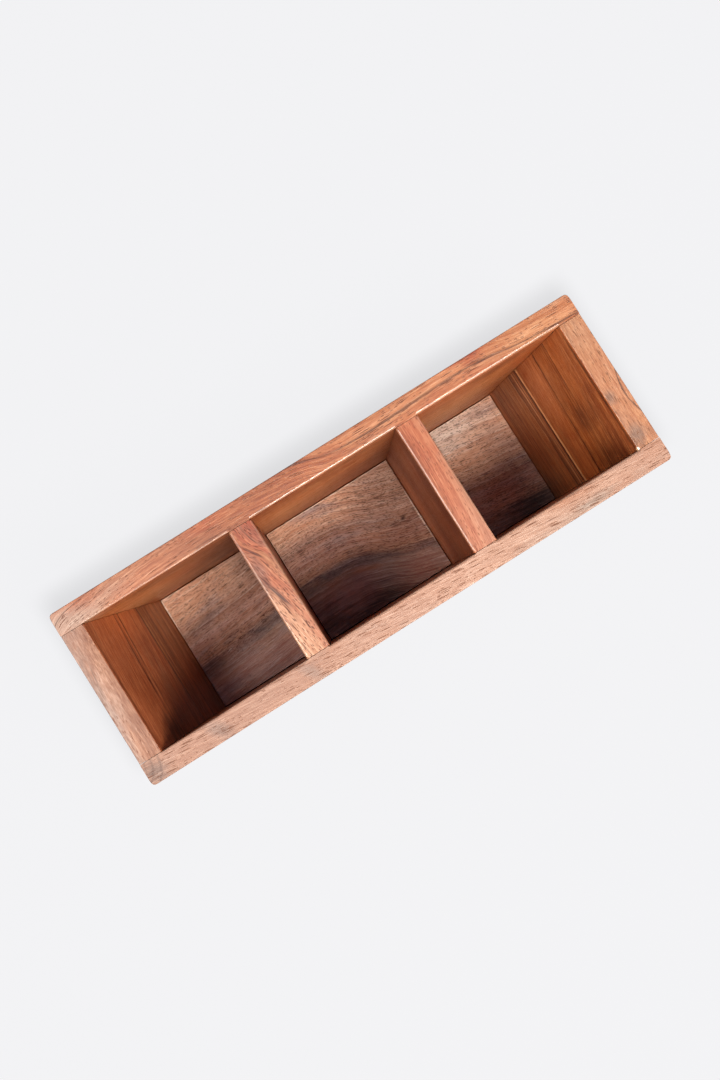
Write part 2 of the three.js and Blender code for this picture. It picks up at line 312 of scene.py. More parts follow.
    # Warm clouds and mineral stain about 40 mm long and 11 mm wide, then the patches in known places: the
    # wood's own stain and marks, and painted light and shade.
    cloud = add(tree, "VectorMath", {0: grain, 1: (1 / 40, 1 / 11, 1 / 11)}, operation="MULTIPLY").outputs[0]
    clouds = add(tree, "TexNoise", {"Vector": cloud, "Scale": 1.0, "Detail": 5.0, "Roughness": 0.65})
    warm, cluster, cool = add(tree, "SeparateColor", {0: clouds.outputs["Color"]}).outputs
    for tint, start, full, (code, strength) in ((warm, 0.42, 0.66, blush), (cool, 0.52, 0.72, grey)):
        veil = add(tree, "MapRange", {0: tint, 1: start, 2: full, 3: 0.0, 4: strength}).outputs[0]
        wood = add(tree, "Mix", {0: veil, 6: wood, 7: linear(code)}, data_type="RGBA").outputs[2]
    for spot, reach, angle, strength, code in stains_and_painted_light:
        nearby = add(tree, "Mapping", {
            "Vector": place, "Location": [s * MM for s in spot], "Rotation": (0, 0, math.radians(angle)),
            "Scale": [r * MM for r in reach],
        }, vector_type="TEXTURE").outputs[0]
        away = add(tree, "VectorMath", {0: nearby}, operation="LENGTH").outputs["Value"]
        away = add(tree, "Math", {0: cluster, 1: -1.2, 2: away}, operation="MULTIPLY_ADD").outputs[0]
        away = add(tree, "Math", {0: streak, 1: -0.8, 2: away}, operation="MULTIPLY_ADD").outputs[0]
        patch = add(tree, "MapRange", {0: away, 1: -0.75, 2: 0.05, 3: strength, 4: 0.0}).outputs[0]
        wood = add(tree, "Mix", {0: patch, 6: wood, 7: linear(code)}, data_type="RGBA").outputs[2]

    # Dark growth lines in known places, ragged by the fibres and broken up by the clouds.
    broken = add(tree, "MapRange", {0: cluster, 1: 0.38, 2: 0.58, 3: 0.35, 4: 1.0}).outputs[0]
    for radius, half, strength, code in lines:
        off = add(tree, "Math", {0: ring, 1: radius}, operation="SUBTRACT").outputs[0]
        off = add(tree, "Math", {0: off}, operation="ABSOLUTE").outputs[0]
        dark = add(tree, "MapRange", {0: off, 1: 0.3 * half, 2: half, 3: strength, 4: 0.0}).outputs[0]
        dark = add(tree, "Math", {0: dark, 1: broken}, operation="MULTIPLY").outputs[0]
        wood = add(tree, "Mix", {0: dark, 6: wood, 7: linear(code)}, data_type="RGBA").outputs[2]

    # The walls of the pockets, where the oil fills half of the pores and the colour carries painted light and
    # shade, and the worn arrises.
    arris = add(tree, "Attribute", {}, attribute_name="arris").outputs["Fac"]
    shown = 1.0
    unfilled = 1.0
    if painted_wall_light:
        wall = add(tree, "Attribute", {}, attribute_name="pocket_side").outputs["Fac"]
        wall = add(tree, "Math", {0: wall, 1: arris}, operation="SUBTRACT", use_clamp=True).outputs[0]
        shown = add(tree, "MapRange", {0: wall, 3: 1.0, 4: wall_tone}).outputs[0]
        unfilled = add(tree, "MapRange", {0: wall, 3: 1.0, 4: 0.5}).outputs[0]

    # Growth lines 4 mm to 0.25 mm wide, streaks and fibres darken and redden the wood.
    line = add(tree, "TexNoise", {
        "W": ring, "Scale": 1 / 4, "Detail": 4.0, "Roughness": 0.7,
    }, noise_dimensions="1D").outputs[0]
    tone = -0.5 * sum(tones)
    for pattern, strength in zip((line, streak, fibre), tones):
        tone = add(tree, "Math", {0: pattern, 1: strength, 2: tone}, operation="MULTIPLY_ADD").outputs[0]
    tone = add(tree, "Math", {0: tone, 1: shown, 2: 1.0}, operation="MULTIPLY_ADD").outputs[0]
    wood = add(tree, "Gamma", {"Color": wood, "Gamma": tone}).outputs[0]

    # The pores, which close in some rings where porous says so, and the dark rings of the knots.
    long_share, short_share, scale, pore_dark = pores
    pore = open_pores(tree, grain, fibre, cluster, long_share, short_share, scale)
    if porous:
        opened = add(tree, "MapRange", {0: ring, 1: porous[0], 2: porous[1], 3: 0.25, 4: 1.0}).outputs[0]
        pore = add(tree, "Math", {0: pore, 1: opened}, operation="MULTIPLY").outputs[0]
    pore = add(tree, "Math", {0: pore, 1: unfilled}, operation="MULTIPLY").outputs[0]
    wood = add(tree, "Mix", {0: pore, 6: wood, 7: linear(pore_dark)}, data_type="RGBA").outputs[2]
    for core in cores:
        wood = add(tree, "Mix", {0: core, 6: wood, 7: linear(KNOT_DARK)}, data_type="RGBA").outputs[2]

    # Painted light and shade: the walls of the pockets are tinted, mostly redder, to stand in for the light
    # bounced between them. The arrises are paler, partly worn wood and partly a painted highlight, and they
    # are polished by the hand.
    if painted_wall_light:
        wood = add(tree, "Mix", {
            0: wall, 6: wood, 7: (*painted_wall_light, 1),
        }, data_type="RGBA", blend_type="MULTIPLY").outputs[2]
    # Paler arrises: partly worn wood, partly a painted highlight.
    pale = add(tree, "Math", {0: arris, 1: bare}, operation="MULTIPLY").outputs[0]
    wood = add(tree, "Mix", {0: pale, 6: wood, 7: linear(ARRIS_WEAR_AND_HIGHLIGHT)}, data_type="RGBA").outputs[2]
    gloss = add(tree, "MapRange", {0: fibre, 1: 0.3, 2: 0.7, 3: rough - 0.06, 4: rough + 0.08}).outputs[0]
    gloss = add(tree, "Math", {0: pore, 1: 0.25, 2: gloss}, operation="MULTIPLY_ADD").outputs[0]
    gloss = add(tree, "Math", {0: arris, 1: -0.18, 2: gloss}, operation="MULTIPLY_ADD").outputs[0]
    sheen = add(tree, "Math", {0: arris, 1: 0.4, 2: 0.5}, operation="MULTIPLY_ADD").outputs[0]
    ridges = add(tree, "Math", {0: streak, 1: 0.8, 2: fibre}, operation="MULTIPLY_ADD").outputs[0]
    ridges = add(tree, "Math", {0: pore, 1: -1.2, 2: ridges}, operation="MULTIPLY_ADD").outputs[0]
    firm = add(tree, "Math", {0: arris, 1: -0.42, 2: 0.5}, operation="MULTIPLY_ADD").outputs[0]
    bump = add(tree, "Bump", {"Height": ridges, "Strength": firm, "Distance": relief * MM}).outputs[0]
    skin = add(tree, "BsdfPrincipled", {
        "Base Color": wood, "Roughness": gloss, "Normal": bump, "Specular IOR Level": sheen, "IOR": 1.5,
    }).outputs[0]
    add(tree, "OutputMaterial", {"Surface": skin})
    return material


back_acacia = acacia(
    "oiled_acacia_back_board", turn=(0, 0, 0), pith=(0, -5, -100),
    rings=[
        (30, "#915935"), (42, "#96593a"), (46, "#975b3a"), (48.7, "#8d5535"), (49.6, "#653a20"),
        (50.1, "#955938"), (55, "#915b3a"), (70, "#91593c"), (100, "#895231"),
    ],
    course=[(-150, 0), (-123, 6), (-70, 9), (-13, 6.2), (20, -0.2), (85, 0.4), (120, -3.5), (150, -5)],
    lines=[
        (49.2, 0.4, 0.9, "#4d2712"), (62, 0.6, 0.5, "#4a2412"), (68, 0.9, 0.5, "#4a2412"),
        (70.5, 0.5, 0.5, "#4a2412"), (79, 1, 0.5, "#4a2412"), (86, 0.6, 0.5, "#4a2412"),
        (94, 0.8, 0.5, "#4a2412"),
    ],
    runs_out="Y", fades=(-15, 30), sway=1.0, feather=1.3, tones=(0.45, 0.9, 0.8), wall_tone=1.4,
    pores=(0.55, 0.5, 0.95, "#572a12"), blush=("#8d4321", 0.75), grey=("#896550", 0.75),
    painted_wall_light=(1.28, 1.05, 0.76),
    stains_and_painted_light=[
        ((-73, 43, 132), (40, 14, 34), 0, 0.8, "#7e4b32"),
        ((-25, 43, 132), (50, 16, 34), 0, 0.9, "#793f22"),
        ((-118, 43, 132), (26, 9, 30), 0, 0.5, "#825c4a"),
        ((-148, 42, 132), (30, 10, 30), -20, 0.8, "#927768"),
        ((92, 47, 132), (7, 4, 20), 0, 0.7, "#7f3516"),
        ((-62, 46, 132), (18, 4, 20), 0, 0.5, "#8c3f1f"),
        ((130, 43, 132), (34, 9, 30), 0, 0.6, "#a26d48"),
        # Painted shade: a dark line along the top of the pocket walls, just under the mouth's rounded edge.
        ((0, 36.3, 129.9), (150, 0.8, 0.9), 0, 0.8, "#3b2214"),
        # Painted light and shade on the back wall of each pocket: paler in the middle, darker under the rim,
        # in the corners by the dividers and down by the floor.
        ((-114, 36.5, 68), (24, 5, 46), 0, 0.9, "#a77556"),
        ((-64, 36.5, 76), (24, 5, 80), 0, 0.95, "#643924"),
        ((-90, 36.5, 119), (40, 5, 15), 0, 0.75, "#6f3e26"),
        ((-22, 36.5, 62), (36, 5, 56), 0, 0.92, "#b37752"),
        ((40, 36.5, 70), (14, 5, 70), 0, 0.8, "#7b4a32"),
        ((20, 36.5, 119), (36, 5, 14), 0, 0.75, "#71422c"),
        ((84, 36.5, 62), (40, 5, 54), 0, 0.92, "#a87351"),
        ((106, 36.5, 119), (28, 5, 14), 0, 0.75, "#6f412c"),
        ((-84, 36.5, 18), (18, 5, 26), 0, 0.8, "#683f28"),
    ],
)
front_acacia = acacia(
    "oiled_acacia_front_board", turn=(0, 1, 6), pith=(0, 42, 150),
    rings=[
        (140, "#815237"), (200, "#855b3f"), (262, "#8d644e"), (276, "#946b57"), (281, "#926a56"),
        (284, "#8d6552"), (290, "#916a56"), (310, "#8a6450"),
    ],
    course=[(-150, -1), (0, 0), (150, 1)],
    lines=[
        (158, 0.9, 0.5, "#4f2e1c"), (172, 1.2, 0.5, "#4f2e1c"), (178, 0.6, 0.5, "#4f2e1c"),
        (196, 0.8, 0.5, "#523122"), (214, 1.5, 0.4, "#5a3828"), (221, 0.5, 0.5, "#523122"),
        (239, 0.9, 0.5, "#5a3828"), (246, 0.5, 0.4, "#5a3828"),
    ],
    knots=[
        ((-158, -36, 131), 24, -14, 17.5, 0.8, 0.35), ((-158, -36, 131), 4, 0, 13.5, 0.7, 0.3),
        ((-158, -36, 131), 4, 0, 10, 0.6, 0.3),
    ],
    runs_out="Y", sway=1.5, feather=2, tones=(0.3, 0.55, 0.7), wall_tone=1.5,
    pores=(0.62, 0.35, 0.85, "#5f3319"), blush=("#8c5d45", 0.675), grey=("#836a5d", 0.675),
    painted_wall_light=(1.1, 0.9, 0.65),
    stains_and_painted_light=[
        ((-98, -42.5, 132), (72, 15, 34), 0, 0.75, "#825b49"),
        ((100, -42, 132), (60, 14, 30), 0, 0.4, "#8d6650"),
        ((-146, -43, 132), (8, 9, 20), 20, 0.75, "#594138"),
        ((-109, -42, 132), (5, 10, 20), 40, 0.6, "#685249"),
        ((-56, -43, 132), (4, 10, 20), 35, 0.5, "#705b52"),
        ((103, -46, 132), (18, 3, 20), 3, 0.6, "#726156"),
        ((96, -38.5, 132), (20, 2.5, 20), -3, 0.6, "#885233"),
    ],
)
# Where the mouth of each pocket starts and ends along a long board, and how far it is rounded there.
mouths = (
    (-inner_end(height), -divider_high.x, 0.9 * MM),
    (-divider_low.x, divider_low.x, 1.2 * MM),
    (divider_high.x, inner_end(height), 1.4 * MM),
)
for board, side, material in (("front_board", -1, front_acacia), ("back_board", 1, back_acacia)):
    outside = side * back_high.y
    inside = side * back_low.y
    bm = sawn_board(
        (-outer_end(height), min(inside, outside), 0),
        (outer_end(height), max(inside, outside), height),
    )
    foot = [vert for vert in bm.verts if vert.co.z < TINY]
    bmesh.ops.scale(bm, vec=(BASE_HALF_LENGTH / outer_end(height), 1, 1), verts=foot)
    slice_up(bm, 0, [step * SLICE for step in range(-29, 30)])
    slice_up(bm, 0, [place for mouth in mouths for place in mouth[:2]])
    ease(bm, CORNER_RADIUS, CORNER_STEPS, lambda co: (
        abs(co.y - outside) < TINY and abs(abs(co.x) - outer_end(co.z)) < TINY
    ), BARELY_WORN)
    ease(bm, RIM_EASE, RIM_STEPS, lambda co: (
        co.z > height - TINY and abs(co.y - inside) > TINY
    ), BARELY_WORN)
    ease(bm, RIM_EASE, RIM_STEPS, lambda co: co.z < TINY and abs(co.y - inside) > TINY, BARELY_WORN)
    for start, end, radius in mouths:
        ease(bm, radius, CORNER_STEPS, lambda co: (
            co.z > height - TINY and abs(co.y - inside) < TINY and start - TINY < co.x < end + TINY
        ))
    hand_sand(bm)
    put_in_place(bm, board, "oiled", material, lambda normal: normal.y * side < -FACING)

# The two ends slope outwards and butt between the long boards. Each is edge-glued from two acacia staves,
# square to its slope, and dowelled to the long boards. Its rim is eased, and thin glue lines show inside.
STAVE_JOINT = {"left": 54 * MM, "right": 59 * MM}
GLUE_LINE = 0.2 * MM

left_upper_acacia = acacia(
    "oiled_acacia_left_upper_stave", turn=(0, 0, -90), pith=(0, 13, 200),
    rings=[
        (283.8, "#8c5b40"), (301.6, "#86563c"), (315.4, "#8e5f43"), (320.1, "#88593e"), (323.6, "#8c5c40"),
        (338, "#8d5e44"), (354.8, "#8f5f45"), (368.5, "#815e4f"), (392.2, "#815c4b"),
    ],
    course=[(-40, 10), (-10, 7), (37, 0)],
    lines=[
        (366.3, 0.3, 0.4, "#5a3c30"), (367.6, 0.3, 0.4, "#5a3c30"), (368.6, 0.3, 0.3, "#5a3c30"),
        (322.2, 0.8, 1, "#371208"), (320.3, 0.6, 0.5, "#512915"), (316.9, 0.9, 0.9, "#3e1c0f"),
        (314.4, 0.5, 0.4, "#512915"), (305.5, 0.7, 0.5, "#512915"), (299.6, 0.8, 0.5, "#512915"),
        (344.9, 0.6, 0.4, "#60331e"), (333.1, 0.5, 0.3, "#60331e"),
    ],
    runs_out="Z", sway=1.2, feather=1.2, tones=(0.4, 0.65, 0.8), wall_tone=1.4,
    pores=(0.3, 0.35, 1, "#663924"), blush=("#88573b", 0.675), grey=("#7a665b", 0.6),
    painted_wall_light=(1.14, 0.7, 0.435),
    stains_and_painted_light=[
        ((-139, 0, 132), (4.5, 80, 8), 0, 0.75, "#85533c"),
        ((-144, 35, 132), (9, 8, 12), 0, 0.5, "#7b5849"),
        ((-124, 0, 54.4), (14, 90, 1.5), 0, 0.85, "#3f1e11"),
        ((-139, 0, 132), (2, 60, 6), 0, 0.6, "#845138"),
        ((-149, -5, 132), (3, 60, 8), 0, 0.5, "#776056"),
        # Painted shade: a dark line along the top of the pocket wall, just under its inner edge.
        ((-137.3, 0, 129.8), (1.2, 60, 1.7), 0, 0.9, "#3f2416"),
        ((-139.6, 0, 132), (5, 90, 8), 0, 0.8, "#764930"),
        ((-146.3, 12, 132), (0.35, 11, 3), -8, 0.7, "#5c4339"),
        # Painted light and shade on the pocket wall: the front board's shadow dark and grey towards the
        # front, paler light at the back, darker in between.
        ((-122, -33, 60), (7, 24, 78), 0, 0.85, "#6c5a54"),
        ((-128, 32, 84), (8, 16, 44), 0, 0.75, "#a56e4c"),
        ((-133, -2, 112), (6, 20, 26), 0, 0.65, "#78482c"),
        ((-127, -13, 84), (6, 14, 26), 0, 0.65, "#6c4532"),
        ((-130, -31, 102), (6, 12, 26), 0, 0.88, "#2e1d17"),
        ((-122, 30, 62), (7, 14, 9), 0, 0.6, "#a57352"),
    ],
)
left_lower_acacia = acacia(
    "oiled_acacia_left_lower_stave", turn=(0, 0, -90), pith=(0, -118, 120),
    rings=[
        (110, "#835e42"), (140, "#896347"), (158, "#936a4d"), (163, "#6c4932"), (166, "#8d6548"),
        (170, "#6f4b33"), (172, "#977253"), (174, "#775036"),
    ],
    course=[(-40, 1), (0, 0), (40, -1)],
    lines=[
        (166, 0.8, 0.7, "#2e150b"), (162, 0.7, 0.6, "#3c1d12"), (155, 0.8, 0.5, "#3c1d12"),
        (147, 1, 0.5, "#3c1d12"),
    ],
    runs_out="Z", sway=0.8, feather=1.5, tones=(0.5, 0.7, 0.7), wall_tone=1.5,
    pores=(0.4, 0.4, 1, "#5a3622"), blush=("#8a5939", 0.6), grey=("#7c6957", 0.6), painted_wall_light=(1.2, 0.76, 0.51),
    rough=0.46, relief=0.25,
    stains_and_painted_light=[
        ((-124, 0, 53.6), (14, 90, 1.2), 0, 0.8, "#361a11"),
        # Painted shadow: the front of the lower wall dark and grey.
        ((-114, -30, 20), (10, 24, 66), 0, 0.8, "#696161"),
    ],
)
right_upper_acacia = acacia(
    "oiled_acacia_right_upper_stave", turn=(0, 0, -90), pith=(0, -13, 200),
    rings=[
        (292.3, "#9b775a"), (293.7, "#8d5d3f"), (313.4, "#905e3f"), (320.1, "#885b3d"), (323.6, "#8b5e3e"),
        (337.2, "#8d6141"), (339.6, "#906344"), (358.7, "#926042"), (368.5, "#935f41"), (392.2, "#935f41"),
    ],
    course=[(-40, -8), (0, -4), (37, 0)],
    lines=[
        (366, 0.3, 0.4, "#5f3a22"), (367.8, 0.25, 0.4, "#5f3a22"), (322, 0.7, 1, "#31110a"),
        (319.3, 0.5, 0.4, "#4a2818"), (338.6, 0.6, 0.75, "#3b1c10"), (336.4, 0.5, 0.5, "#4a2818"),
        (334.1, 0.8, 0.5, "#4a2818"), (331.7, 0.4, 0.4, "#4a2818"), (350.8, 0.5, 0.4, "#583222"),
        (305.5, 0.5, 0.3, "#583222"),
    ],
    knots=[((180, -8.5, 131), 36, -6, 32.5, 0.5, 0.75)],
    runs_out="Z", sway=1.0, feather=1.0, tones=(0.4, 0.6, 0.8), wall_tone=1.4,
    pores=(0.45, 0.5, 1, "#66391b"), blush=("#915932", 0.675), grey=("#7d5d4a", 0.525),
    painted_wall_light=(1.15, 0.72, 0.4),
    stains_and_painted_light=[
        ((143, 28, 132), (10, 18, 14), 0, 0.5, "#96694d"),
        # Painted shade: the front of the pocket wall darker near the top.
        ((133, -32, 108), (16, 15, 34), 0, 0.68, "#452414"),
        ((124, 0, 60.2), (14, 90, 1.5), 0, 0.75, "#dcc6b2"),
        ((140, -7, 132), (3.5, 5, 12), 0, 0.7, "#674c3e"),
        ((142, -29, 132), (6, 7, 12), -35, 0.7, "#664c3f"),
        ((137.7, -35.8, 132), (1, 1.2, 3), 0, 1, "#eeeeee"),
        # Painted shade: a dark line along the top of the pocket wall, just under its inner edge.
        ((137.3, 0, 129.8), (1.2, 60, 1.7), 0, 0.9, "#3a2114"),
        # Painted light and shade on the pocket wall: darker under the rim and in the middle, paler lower down
        # at the back.
        ((136, -8, 122), (6, 34, 14), 0, 0.45, "#694230"),
        ((131, -8, 100), (6, 11, 20), 0, 0.7, "#593527"),
        ((127, 20, 78), (6, 28, 18), 0, 0.5, "#aa7c61"),
    ],
)
right_lower_acacia = acacia(
    "oiled_acacia_right_lower_stave", turn=(0, 0, -90), pith=(0, 118, 120),
    rings=[
        (110, "#845b3c"), (145, "#8b6041"), (163, "#936846"), (169, "#845839"), (171.4, "#613b25"),
        (172.6, "#c29c7c"), (176, "#936845"), (178, "#5d3721"), (181, "#8c6041"),
    ],
    course=[(-40, 0.5), (0, 0), (40, -0.5)],
    lines=[
        (174.2, 0.8, 1, "#2a120a"), (168, 0.9, 1, "#2a120a"), (160, 0.8, 0.5, "#3c1d12"),
        (150, 1, 0.5, "#3c1d12"),
    ],
    runs_out="Z", sway=0.6, feather=1.2, tones=(0.5, 0.65, 0.65), wall_tone=1.5,
    pores=(0.4, 0.4, 1, "#5a341d"), blush=("#8c5733", 0.6), grey=("#7d6755", 0.6), painted_wall_light=(1.2, 0.81, 0.58),
    rough=0.46, relief=0.25,
    stains_and_painted_light=[
        ((124, 0, 58.2), (14, 90, 1.6), 0, 0.85, "#361a11"),
        # Painted shadow: the front of the lower wall dark and grey.
        ((113, -31, 18), (10, 14, 26), 0, 0.5, "#594b45"),
    ],
)
cross_cuts = [step * SLICE for step in range(-7, 8)]
for end, side, upper, lower in (
    ("left", -1, left_upper_acacia, left_lower_acacia), ("right", 1, right_upper_acacia, right_lower_acacia),
):
    stave_low, stave_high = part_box(end + "_end_upper_stave")
    for part, material in (("lower", lower), ("upper", upper)):
        bm = sawn_board((0, stave_low.y, 0), (1, stave_high.y, height))
        for vert in bm.verts:
            wall = outer_end if vert.co.x > 0.5 else inner_end
            vert.co.x = wall(vert.co.z)
        slope = Vector((END_LEAN, 0, 1)).normalized()
        joint = Vector((inner_end(STAVE_JOINT[end]), 0, STAVE_JOINT[end]))
        keep = 1 if part == "lower" else -1
        cut = bmesh.ops.bisect_plane(
            bm, geom=bm.verts[:] + bm.edges[:] + bm.faces[:], plane_co=joint - keep * slope * GLUE_LINE / 2,
            plane_no=slope, clear_outer=part == "lower", clear_inner=part == "upper",
        )
        open_edges = [edge for edge in cut["geom_cut"] if isinstance(edge, bmesh.types.BMEdge)]
        bmesh.ops.holes_fill(bm, edges=open_edges)
        slice_up(bm, 1, cross_cuts)
        if part == "upper":
            for edge in (inner_end(height), outer_end(height)):
                ease(bm, RIM_EASE, RIM_STEPS, lambda co: (
                    co.z > height - TINY and abs(co.x - edge) < TINY
                ), BARELY_WORN)
        else:
            ease(bm, RIM_EASE, RIM_STEPS, lambda co: (
                co.z < TINY and abs(co.x - outer_end(0)) < TINY
            ), BARELY_WORN)
        hand_sand(bm)
        bmesh.ops.scale(bm, vec=(side, 1, 1), verts=bm.verts)
        stave = f"{end}_end_{part}_stave"
        put_in_place(bm, stave, "oiled", material, lambda normal: normal.x * side < -FACING)

# The two dividers are upright acacia boards across the caddy, flush with its rim. They butt between the long
# boards on blind dowels, and their top edges are rounded with the mouths of the pockets.
MOUTH_EASE = 1.2 * MM

left_divider_acacia = acacia(
    "oiled_acacia_left_divider", turn=(0, 0, -90), pith=(0, -95, -100),
    rings=[
        (20, "#7d4525"), (40, "#a37559"), (46, "#9d6b4f"), (50, "#935c41"), (53.6, "#8b593b"),
        (54, "#865335"), (54.5, "#895538"), (55.4, "#8b4b30"), (60, "#8b472b"), (61, "#86492c"),
        (61.8, "#884224"), (70, "#844226"), (110, "#773c1f"),
    ],
    course=[(-37, -17), (-10.5, -13), (5.5, -9), (16.5, -6.5), (27.8, 0), (37, 2)],
    lines=[(58, 0.5, 0.6, "#502c1c"), (50.5, 0.5, 0.5, "#6a412e")],
    runs_out="Y", fades=(-15, 30), sway=0.8, feather=1.2, tones=(0.35, 0.65, 1.0), wall_tone=0.5,
    pores=(0.6, 1.1, 0.95, "#46190a"), blush=("#8b3d1e", 0.75), grey=("#6f4c3d", 0.675),
    painted_wall_light=(1, 0.83, 0.69), relief=0.25,
    stains_and_painted_light=[
        ((-50.2, 22.4, 132), (0.7, 7.5, 20), 32, 0.9, "#2c1208"),
        ((-49.8, -3, 132), (0.7, 9, 20), 18, 0.9, "#2c140c"),
        ((-48, 30, 132), (8, 12, 30), 20, 0.6, "#833c21"),
        ((-52, 10, 132), (3.5, 13, 20), -6, 0.6, "#664439"),
        ((-49.5, -4, 132), (1.6, 8, 20), 10, 0.6, "#55362b"),
    ],
)
right_divider_acacia = acacia(
    "oiled_acacia_right_divider", turn=(0, 0, -90), pith=(0, 150, -110),
    rings=[
        (80, "#976348"), (97, "#976349"), (101, "#945a3d"), (104, "#8e4c2e"), (107, "#904f31"),
        (109, "#935838"), (118, "#7f4428"), (150, "#723c20"),
    ],
    course=[(-37, 3), (0, 0), (37, -1)],
    runs_out="Y", sway=0.8, feather=2, tones=(0.5, 0.65, 0.75), wall_tone=1.2,
    pores=(0.1, 0.55, 0.9, "#67321a"), blush=("#914b2c", 0.75), grey=("#8a6450", 0.45),
    painted_wall_light=(0.88, 0.75, 0.65),
    stains_and_painted_light=[
        ((45.6, 8, 132), (3.6, 40, 20), 0, 0.75, "#89462a"),
        ((46.3, 12, 132), (2.5, 34, 20), 0, 0.6, "#884427"),
        ((50, -25, 132), (6, 18, 20), 0, 0.15, "#976551"),
        # Painted light and shade on the divider's face in the middle pocket: darker under the rim, paler down
        # by the floor.
        ((41.8, -4, 119), (4, 60, 18), 0, 0.85, "#6c351d"),
        ((41.8, -6, 22), (4, 64, 36), 0, 0.97, "#c47a51"),
    ],
)
for divider, material in (("left_divider", left_divider_acacia), ("right_divider", right_divider_acacia)):
    low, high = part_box(divider)
    bm = sawn_board(low, high)
    slice_up(bm, 1, cross_cuts)
    for edge in (low.x, high.x):
        ease(bm, MOUTH_EASE, RIM_STEPS, lambda co: co.z > height - TINY and abs(co.x - edge) < TINY)
    hand_sand(bm)
    put_in_place(bm, divider, "oiled", material, lambda normal: abs(normal.x) > FACING)

# The floor of each pocket is its own acacia panel, sawn from one strip, so the grain runs on from panel to
# panel. It is only rough-sanded, sits in grooves of the long boards with a narrow gap all round, and its
# edges are chipped.
FLOOR_GAP = 0.5 * MM
FLOOR_ARRIS = 0.4 * MM
FLOOR_ARRIS_STEPS = 3
FLOOR_GRID = 1.5 * MM
CHIP_WANDER = 3 * MM
CHIP_START = 0.12
CHIP_DEPTH = 1.5 * MM
CHIP_DROP = 0.8

floor_acacia = acacia(
    "rough_sanded_acacia_floor", turn=(0, 0, 0), pith=(0, -186.5, 0),
    rings=[
        (120, "#dda88b"), (150, "#d09c7f"), (158, "#c39176"), (164, "#b3836d"), (168, "#9a7263"),
        (176, "#ae7e6f"), (186, "#b3816a"), (188.5, "#715955"), (193, "#6a5551"), (196, "#9c7e73"),
        (205, "#aa8780"), (225, "#9c766f"),
    ],
    course=[
        (-114, -9), (-59, -3.5), (-42, -0.5), (-17, 0), (3, -4), (23, -12), (42, -17), (67, -22),
        (114, -28),
    ],
    knots=[((31.5, 1.8, 12), 9, -4, 0, 0.5, 0.3)],
    runs_out="Y", sway=1.2, feather=5, tones=(0.9, 0.8, 1.0), pores=(0.52, 0.95, 0.6, "#361d15"),
    porous=(197, 187), blush=("#ba8365", 0.6), grey=("#8e7674", 0.75), rough=0.55, relief=0.7, bare=0.4,
    stains_and_painted_light=[
        # Painted light and shade: darker beside the dividers, paler at the back of the right pocket.
        ((34, 22, 12), (34, 30, 6), 8, 0.5, "#765147"),
        ((-60, 30, 12), (14, 16, 6), 0, 0.5, "#825e55"),
        ((70, 30, 12), (22, 18, 6), -8, 0.8, "#d9baa9"),
        ((82, 32, 12), (34, 16, 6), -12, 0.7, "#c4ab9d"),
        # A pale fleck and the dark eye of the knot.
        ((-94, -9.6, 12), (2.2, 0.5, 2), 12, 0.8, "#e9d5c9"),
        ((31.5, 1.8, 12), (2.6, 1.5, 3), 25, 0.9, "#361f19"),
        # Painted light and shade: darker beside the right end and in the front board's shadow at the front of
        # the floors, paler where light falls further back.
        ((106, 2, 12), (16, 44, 6), 0, 0.45, "#7c564d"),
        ((-5, -36, 12), (52, 20, 6), 4, 0.85, "#3a2019"),
        ((102, -34, 12), (22, 13, 6), 0, 0.9, "#2c1c17"),
        ((70, -17, 12), (14, 10, 6), 0, 0.5, "#c09b8c"),
        ((-88, -22, 12), (18, 16, 6), 0, 0.6, "#d0a195"),
        # Pale lines along the panels' chipped edges: paler raw wood and a painted highlight.
        ((40.9, -3, 12), (0.9, 19, 2), 0, 1, "#f2d8c4"),
        ((-113.3, 27, 12), (0.9, 12, 2), 0, 0.9, "#f2d8c4"),
        ((-4, 35.7, 12), (46, 0.7, 2), 0, 0.8, "#e6c6b0"),
        ((84, 35.7, 12), (34, 0.45, 2), 0, 0.6, "#eecfb8"),
        # Painted light at the front right of the middle and left floors, where light from the left falls.
        ((27, -28, 12), (20, 14, 6), 0, 0.8, "#a36c5c"),
        ((-66, -28, 12), (14, 12, 6), 0, 0.6, "#9c6a62"),
        # Two bands of the wood's own colour on the left floor.
        ((-103, 22, 12), (16, 4.5, 4), 10, 0.45, "#cf9c7e"),
        ((-96, 13, 12), (20, 3.2, 4), 10, 0.6, "#64453f"),
        # Painted shadow: more of the front board's shadow on the middle and right floors.
        ((-36, -24, 12), (18, 15, 6), 0, 0.55, "#46291f"),
        ((76, -36, 12), (18, 8, 6), 0, 0.5, "#4a2f28"),
    ],
)
for pocket in ("left", "middle", "right"):
    panel = pocket + "_floor_panel"
    low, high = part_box(panel)
    edge = back_low.y - FLOOR_GAP
    bm = sawn_board((low.x, -edge, low.z), (high.x, edge, high.z))
    for vert in bm.verts:
        if pocket != "middle" and abs(vert.co.x) > divider_high.x + board_thickness:
            vert.co.x = math.copysign(inner_end(vert.co.z) - FLOOR_GAP, vert.co.x)
    ease(bm, FLOOR_ARRIS, FLOOR_ARRIS_STEPS, lambda co: co.z > high.z - TINY)
    slice_up(bm, 0, [step * FLOOR_GRID for step in range(-76, 77)])
    slice_up(bm, 1, [step * FLOOR_GRID for step in range(-23, 24)])
    arris = bm.verts.layers.float["arris"]
    for vert in bm.verts:
        if vert[arris] > 0.5:
            chip = max(noise.noise(vert.co / CHIP_WANDER) - CHIP_START, 0)
            inward = Vector((-vert.co.x + (low.x + high.x) / 2, -vert.co.y, 0)).normalized()
            vert.co += (inward - Vector((0, 0, CHIP_DROP))) * chip * CHIP_DEPTH
    put_in_place(bm, panel, "sanded", floor_acacia, lambda normal: False)

